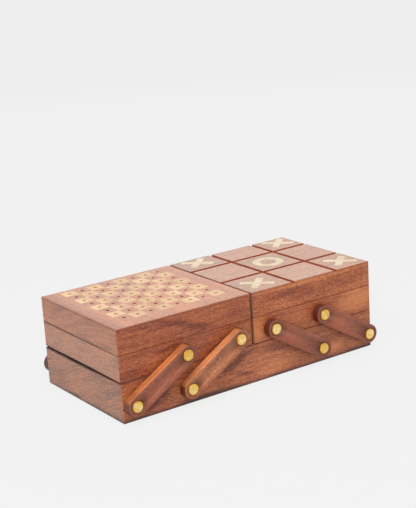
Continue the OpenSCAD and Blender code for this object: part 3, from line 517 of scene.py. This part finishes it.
# Clouds of figure on the front, as figure_mark takes them; on the base one dark cloud is a painted shadow
LEFT_LID_FIGURE = [((-62, 65), (26, 3.5), -18, -0.3), ((-16, 66), (15, 8), 0, -0.15)]
RIGHT_LID_FIGURE = [((30, 67), (22, 3.0), 4, -0.2), ((60, 73.5), (64, 2.5), 0, 0.3)]
LEFT_TRAY_FIGURE = [((-84, 49), (12, 2.0), 8, -0.3), ((-110, 38), (14, 4), 0, -0.1)]
RIGHT_TRAY_FIGURE = [((106, 44), (26, 12), 10, 0.4), ((6, 43), (8, 12), 0, 0.25)]
BASE_FIGURE_AND_SHADOW = [((-22, 20), (22, 3.2), 24, -0.32), ((-14, 12), (18, 3.0), -14, -0.28),
               ((18, 8), (26, 7), 0, 0.25), ((24, 24), (24, 4.0), -8, -0.22),
               # The second mark on the next line is a painted shadow cast by the left outer link
               ((46, 17), (34, 5), -20, -0.2), ((-98, 13), (26, 8), 0, -0.15),
               ((-92, 13), (20, 6), 30, -0.3), ((-32, 9), (17, 6), 0, -0.25),
               ((-60, 3), (64, 3), 0, -0.12), ((84, 11), (13, 7), 0, 0.4)]

# Painted shade along the seams between the lid, the tray and the lower box, as (height, half width,
# amount)
LID_SEAMS = [(54.7, 0.8, 0.3)]
LEFT_TRAY_SEAMS = [(54.5, 0.6, 0.2), (32.7, 1.5, 0.6)]
RIGHT_TRAY_SEAMS = [(54.5, 0.6, 0.2), (32.7, 0.9, 0.4)]
BASE_SEAMS = [(32.5, 0.9, 0.5)]


# Where the pins are

def link_pivots(link):
    """The lower and the upper pivot of a link, as (x, z), from its box and its round ends."""
    low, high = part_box(link)
    inset = LINK_WIDTH / 2
    leans_right = "left" in link
    lower_x, upper_x = (low.x + inset, high.x - inset) if leans_right else (high.x - inset, low.x + inset)
    return (lower_x, low.z + inset), (upper_x, high.z - inset)


LINK_NAMES = ["left_outer", "left_inner", "right_inner", "right_outer"]
LINK_PINS = {name: [(x, z, PIN_HEAD_RADIUS) for x, z in link_pivots(f"front_{name}_link")]
             for name in LINK_NAMES}


# Special tones

def counter_tones(tree, tone, clouds):
    """Each player's row of counters in that player's colour."""
    low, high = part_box("ludo_counters")
    step = (high.x - low.x - COUNTER_WIDTH) / 3
    for row, tones in enumerate((GREEN_STAIN, YELLOW_STAIN, BLUE_STAIN)):
        start = low.x + COUNTER_WIDTH / 2 + (row + 0.5) * step
        own = tree.mix(clouds, tones[0], tones[1])
        tone = tree.mix(tree.math("GREATER_THAN", tree.x, start), tone, own)
    return tone


LUDO_CELLS = 15
LUDO_LINE_HALF_WIDTH = 0.035


def ludo_lines(tree, tone, clouds):
    """Thin dark lines round the cells of the ludo track, which runs along the arms of a cross."""
    low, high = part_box("ludo_board")
    cell = (high.x - low.x - 2 * LUDO_MARGIN) / LUDO_CELLS
    x, y = tree.split(tree.vector("DIVIDE", tree.place, (cell, cell, cell)))[:2]
    lines = []
    for value in (x, y):
        part = tree.math("ABSOLUTE", tree.math("SUBTRACT", tree.math("FRACT", value), 0.5))
        lines.append(tree.math("LESS_THAN", part, LUDO_LINE_HALF_WIDTH))
    line = tree.math("MAXIMUM", lines[0], lines[1])
    off_x, off_y = tree.math("ABSOLUTE", x), tree.math("ABSOLUTE", y)
    smaller = tree.math("MINIMUM", off_x, off_y)
    larger = tree.math("MAXIMUM", off_x, off_y)
    in_arm = tree.math("LESS_THAN", smaller, 1.5 + LUDO_LINE_HALF_WIDTH)
    on_board = tree.math("LESS_THAN", larger, LUDO_CELLS / 2 + LUDO_LINE_HALF_WIDTH)
    off_middle = tree.math("GREATER_THAN", larger, 1.5 - LUDO_LINE_HALF_WIDTH)
    on_arm = tree.math("MULTIPLY", tree.math("MULTIPLY", in_arm, on_board), off_middle)
    return tree.mix(tree.math("MULTIPLY", line, on_arm), tone, LUDO_LINE)


def die_tones(tree, tone, clouds):
    """Black paint in the die's pips, which lie below its faces."""
    low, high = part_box("die")
    half = (high.x - low.x) / 2
    offset = tree.vector("SUBTRACT", tree.place, (low + high) / 2)
    x, y, z = tree.split(tree.vector("ABSOLUTE", offset))
    furthest = tree.math("MAXIMUM", tree.math("MAXIMUM", x, y), z)
    total = tree.math("ADD", tree.math("ADD", x, y), z)
    sunk = tree.math("MULTIPLY", tree.math("LESS_THAN", furthest, half - 0.06 * MM),
                     tree.math("LESS_THAN", total, half + 5.6 * MM))
    return tree.mix(sunk, tone, PIP_BLACK)


materials = {
    "chess_lid": wood("chess_lid_wood", RED_WOOD, 3.0, top_grain="y", end_slope=0.2, top_sheen=CHESS_TOP,
                      end_sheen=LEFT_END, marks=LEFT_LID_FIGURE, seams=LID_SEAMS, middle_edge=True,
                      top_rim=(14, 4, 0.4)),
    "noughts_lid": wood("noughts_lid_wood", GOLD_WOOD, 11.0, fleck=1.3, top_sheen=PLAIN_TILE_TOP,
                        end_sheen=LEFT_END, marks=RIGHT_LID_FIGURE, groove_shade=GROOVE_SHADE_TONE,
                        seams=LID_SEAMS, middle_edge=True, top_rim=(0.5, 2.5, 0.35)),
    "marked_tiles": wood("marked_tile_wood", GOLD_WOOD, 11.0, top_sheen=MARKED_TILE_TOP, end_sheen=LEFT_END,
                         marks=RIGHT_LID_FIGURE, groove_shade=GROOVE_SHADE_TONE, middle_edge=True,
                         top_rim=(0.5, 2.5, 0.35)),
    "left_tray": wood("left_tray_wood", RED_WOOD, 5.0, end_slope=0.2, end_sheen=TRAY_END,
                      marks=LEFT_TRAY_FIGURE, seams=LEFT_TRAY_SEAMS, middle_edge=True),
    "right_tray": wood("right_tray_wood", GOLD_WOOD, 17.0, end_sheen=LEFT_END, marks=RIGHT_TRAY_FIGURE,
                       seams=RIGHT_TRAY_SEAMS, middle_edge=True),
    "base": wood("base_wood", BASE_WOOD, 23.0, end_slope=0.3, end_sheen=BASE_END, marks=BASE_FIGURE_AND_SHADOW,
                 seams=BASE_SEAMS, foot_shade=True),
    "floor": wood("floor_wood", FLOOR_WOOD, 31.0, roughness=0.55),
    "pale": wood("pale_wood", PALE_WOOD, 53.0, top_grain="y", figure=0.3, streak=0.4, fleck=0.4,
                 pore=0.2),
    "ebony": wood("ebony_wood", EBONY_WOOD, 61.0),
    "ludo": wood("ludo_board_wood", PALE_WOOD, 59.0, figure=0.3, streak=0.4, fleck=0.4, pore=0.15,
                 tone_for=ludo_lines),
    "cream": smooth_inlay("cream_inlay", CREAM, cloud_scale=90),
    "red": smooth_inlay("red_stain", RED_STAIN, tone_for=ludo_lines),
    "green": smooth_inlay("green_stain", GREEN_STAIN, tone_for=ludo_lines),
    "yellow": smooth_inlay("yellow_stain", YELLOW_STAIN, tone_for=ludo_lines),
    "blue": smooth_inlay("blue_stain", BLUE_STAIN, tone_for=ludo_lines),
    "counters": smooth_inlay("counter_paint", RED_STAIN, roughness=0.28, tone_for=counter_tones),
    "bone": smooth_inlay("die_bone", BONE, tone_for=die_tones),
    "brass": brass("rubbed_brass", BRASS_TONES),
    "base_pins": brass("base_pin_brass", BRASS_TONES, [pins[0] for pins in LINK_PINS.values()]),
    "tray_pins": brass("tray_pin_brass", BRASS_TONES, [pins[1] for pins in LINK_PINS.values()]),
}

# The front left links' sides get a painted highlight, every other link's sides painted shade
LIT_FRONT_EDGES = {"left_outer": PAINTED_LIT_EDGE, "left_inner": PAINTED_LIT_GOLDEN_EDGE}
for order, name in enumerate(LINK_NAMES):
    tones, strength = (LINK_LIGHT, 1.0) if name == "left_inner" else (LINK_DARK, 0.55)
    front_edges = LIT_FRONT_EDGES.get(name, PAINTED_SHADED_EDGE)
    for row, edges, seed in (("front", front_edges, 41.0), ("rear", PAINTED_SHADED_REAR_EDGE, 48.0)):
        node = f"{row}_{name}_link"
        materials[node] = wood(node + "_wood", tones, seed + order, figure=0.6 * strength,
                               streak=0.5 * strength, fleck=strength, edge_light_and_shade=edges,
                               pins=LINK_PINS[name])

MATERIAL_OF = {
    "chess_light_squares": "pale", "light_chess_pieces": "pale", "dark_chess_pieces": "ebony",
    "cross_inlays": "cream", "nought_inlay": "cream", "noughts_marked_tiles": "marked_tiles",
    "ludo_board": "ludo", "die": "bone", "ludo_counters": "counters", "base_floor": "floor",
    "left_tray_floor": "floor", "right_tray_floor": "floor", "base_partitions": "floor",
    "left_tray_divider": "floor", "base_pivot_pins": "base_pins",
    "left_tray_pivot_pins": "tray_pins", "right_tray_pivot_pins": "tray_pins",
}
BRASS_PARTS = ("pins", "washers", "leaves", "screws")


def material_for(node):
    """The name of a node's material: its own where it has one, or else that of its family."""
    if node.endswith("_link"):
        return node
    if node in MATERIAL_OF:
        return MATERIAL_OF[node]
    if node.endswith(BRASS_PARTS):
        return "brass"
    if node.startswith("ludo_"):
        return node.split("_")[1]
    return next(body for body in ("chess_lid", "noughts_lid", "left_tray", "right_tray", "base")
                if node.startswith(body))


for node, piece in nodes.items():
    piece.data.materials.clear()
    piece.data.materials.append(materials[material_for(node)])


# Smooth pieces

ROUND_PARTS = ("_link", "_pins", "_washers", "_leaves", "_screws", "_pieces", "_counters", "nought_inlay",
               "die")
CRISP_ANGLE = math.radians(32)


def smooth_copy(node):
    """A merged copy of a round CAD node, shaded smooth up to its crisp edges, that stands for it."""
    source = nodes[node]
    mesh = source.data.copy()
    mesh.transform(source.matrix_world)
    piece = bpy.data.objects.new(node + "_smooth", mesh)
    scene.collection.objects.link(piece)
    bpy.context.view_layer.objects.active = piece
    piece.select_set(True)
    bpy.ops.object.mode_set(mode="EDIT")
    bpy.ops.mesh.select_all(action="SELECT")
    bpy.ops.mesh.remove_doubles(threshold=MICRON)
    bpy.ops.object.mode_set(mode="OBJECT")
    bpy.ops.object.shade_smooth_by_angle(angle=CRISP_ANGLE)
    piece.select_set(False)
    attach(piece, body_of[node])
    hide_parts(node)


for node in sorted(nodes):
    if node.endswith(ROUND_PARTS):
        smooth_copy(node)


# Stage, lights and camera

FLOOR_SIZE = 30.0
FLOOR_GREY = srgb(214, 214, 214)
PAPER_GREY = srgb(245, 245, 245)
GLOW_SHARE = 0.9
WORLD_LIGHT = 0.42
BACKDROP = 0.88


def stage_floor():
    """A pale floor that the camera and mirrors see as the photo's even grey, but for a faint shadow."""
    bpy.ops.mesh.primitive_plane_add(size=FLOOR_SIZE, location=(0, 0, 0))
    floor = bpy.context.object
    floor.name = "studio_floor"
    tree = Tree("studio_floor")
    tree.shader.inputs["Base Color"].default_value = FLOOR_GREY
    tree.shader.inputs["Roughness"].default_value = 1.0
    tree.shader.inputs["Specular IOR Level"].default_value = 0.0
    glow = tree.node("ShaderNodeEmission", {"Color": PAPER_GREY, "Strength": 1.0})
    rays = tree.node("ShaderNodeLightPath").outputs
    seen = tree.math("MAXIMUM", rays["Is Camera Ray"], rays["Is Glossy Ray"])
    seen = tree.math("MAXIMUM", seen, rays["Is Transmission Ray"])
    blend = tree.node("ShaderNodeMixShader", {0: tree.math("MULTIPLY", seen, GLOW_SHARE)})
    tree.set(blend.inputs[1], tree.shader.outputs[0])
    tree.set(blend.inputs[2], glow.outputs[0])
    tree.set(tree.tree.nodes["Material Output"].inputs["Surface"], blend.outputs[0])
    floor.data.materials.append(tree.material)


def studio_world():
    """Even white light, which the camera and mirrors see as a bright backdrop."""
    world = bpy.data.worlds.new("studio")
    scene.world = world
    world.use_nodes = True
    tree = world.node_tree
    background = tree.nodes["Background"]
    background.inputs["Color"].default_value = (1, 1, 1, 1)
    rays = tree.nodes.new("ShaderNodeLightPath")
    either = tree.nodes.new("ShaderNodeMath")
    either.operation = "MAXIMUM"
    tree.links.new(rays.outputs["Is Camera Ray"], either.inputs[0])
    tree.links.new(rays.outputs["Is Glossy Ray"], either.inputs[1])
    strength = tree.nodes.new("ShaderNodeMapRange")
    strength.inputs["To Min"].default_value = WORLD_LIGHT
    strength.inputs["To Max"].default_value = BACKDROP
    tree.links.new(either.outputs[0], strength.inputs["Value"])
    tree.links.new(strength.outputs[0], background.inputs["Strength"])


def softbox(name, location, target, width, height, power):
    """A white rectangular lamp, in metres and watts, turned towards its target."""
    lamp = bpy.data.lights.new(name, "AREA")
    lamp.shape = "RECTANGLE"
    lamp.size = width
    lamp.size_y = height
    lamp.energy = power
    holder = bpy.data.objects.new(name, lamp)
    scene.collection.objects.link(holder)
    holder.location = location
    holder.rotation_euler = (Vector(target) - Vector(location)).to_track_quat("-Z", "Y").to_euler()
    holder.visible_camera = False


CAMERA_PLACE = Vector((-0.5554, -0.8214, 0.3693))
CAMERA_YAW = math.radians(34.14)
CAMERA_PITCH = math.radians(15.38)
CAMERA_ROLL = math.radians(-3.641)
FOCAL_PIXELS = 1247.4
FRAME_HEIGHT = 508
SENSOR = 36.0


def photo_camera():
    """The camera at the photograph's place, height and slight roll, aimed at the middle of its frame."""
    ahead = Vector((math.sin(CAMERA_YAW) * math.cos(CAMERA_PITCH),
                    math.cos(CAMERA_YAW) * math.cos(CAMERA_PITCH), -math.sin(CAMERA_PITCH)))
    right = Vector((math.cos(CAMERA_YAW), -math.sin(CAMERA_YAW), 0))
    up = right.cross(ahead)
    rolled_right = right * math.cos(CAMERA_ROLL) + up * math.sin(CAMERA_ROLL)
    rolled_up = up * math.cos(CAMERA_ROLL) - right * math.sin(CAMERA_ROLL)
    camera = bpy.data.cameras.new("photo_camera")
    camera.sensor_width = SENSOR
    camera.sensor_fit = "AUTO"
    camera.lens = FOCAL_PIXELS / FRAME_HEIGHT * SENSOR
    holder = bpy.data.objects.new("photo_camera", camera)
    scene.collection.objects.link(holder)
    turn = Matrix((rolled_right, rolled_up, -ahead)).transposed()
    holder.matrix_world = Matrix.Translation(CAMERA_PLACE) @ turn.to_4x4()
    scene.camera = holder


stage_floor()
studio_world()
softbox("overhead_softbox", (-0.35, -0.3, 1.25), (0, 0, 0.04), 1.0, 1.0, 9.7)
softbox("front_softbox", (-0.8, -1.2, 0.85), (0, 0, 0.04), 0.6, 0.6, 7.0)
softbox("rear_softbox", (0.9, 1.3, 0.62), (0, 0, 0.05), 1.0, 0.6, 2.5)
photo_camera()
scene.view_settings.view_transform = "Standard"
